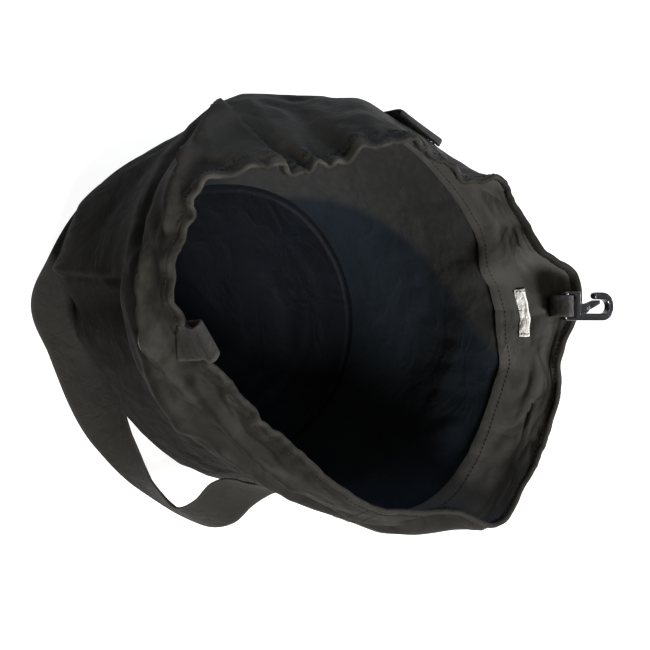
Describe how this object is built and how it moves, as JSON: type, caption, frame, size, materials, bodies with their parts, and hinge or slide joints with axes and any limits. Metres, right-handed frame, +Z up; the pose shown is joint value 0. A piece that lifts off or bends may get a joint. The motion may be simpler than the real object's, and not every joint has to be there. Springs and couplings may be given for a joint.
{
  "type": "helmet bag",
  "caption": "Soft cloth helmet bag standing open on its base, with a turned-in rim facing, a webbing shoulder strap, a rim keeper loop and a snap hook that closes the mouth.",
  "frame": {"origin": "on the floor under the middle of the bag's base", "axes": "+Z up, +Y towards the raised back with the hook, +X to the bag's right"},
  "size_m": [0.3397, 0.3347, 0.2961],
  "materials": {
    "shell_cloth": "satin woven nylon",
    "facing_cloth": "satin woven nylon",
    "webbing": "ribbed webbing",
    "hook_plastic": "glossy moulded",
    "label_cloth": "matt woven, blank"
  },
  "bodies": {
    "bag": {"front_panel": "shell_cloth", "back_panel": "shell_cloth", "base_panel": "shell_cloth", "front_facing": "facing_cloth", "back_facing": "facing_cloth", "shoulder_strap": "webbing", "keeper_loop": "webbing", "hook_tab": "webbing", "sewn_label": "label_cloth", "hook_body": "hook_plastic"},
    "gate": {"hook_gate": "hook_plastic"}
  },
  "joints": [
    {"name": "gate_swing", "type": "hinge", "parent": "bag", "child": "gate", "pos_m": [-0.0116, 0.13823, 0.29043], "axis": [0, 0.1045, -0.9945], "range_deg": [0, 25], "stiffness_Nm_per_rad": 0.01}
  ]
}
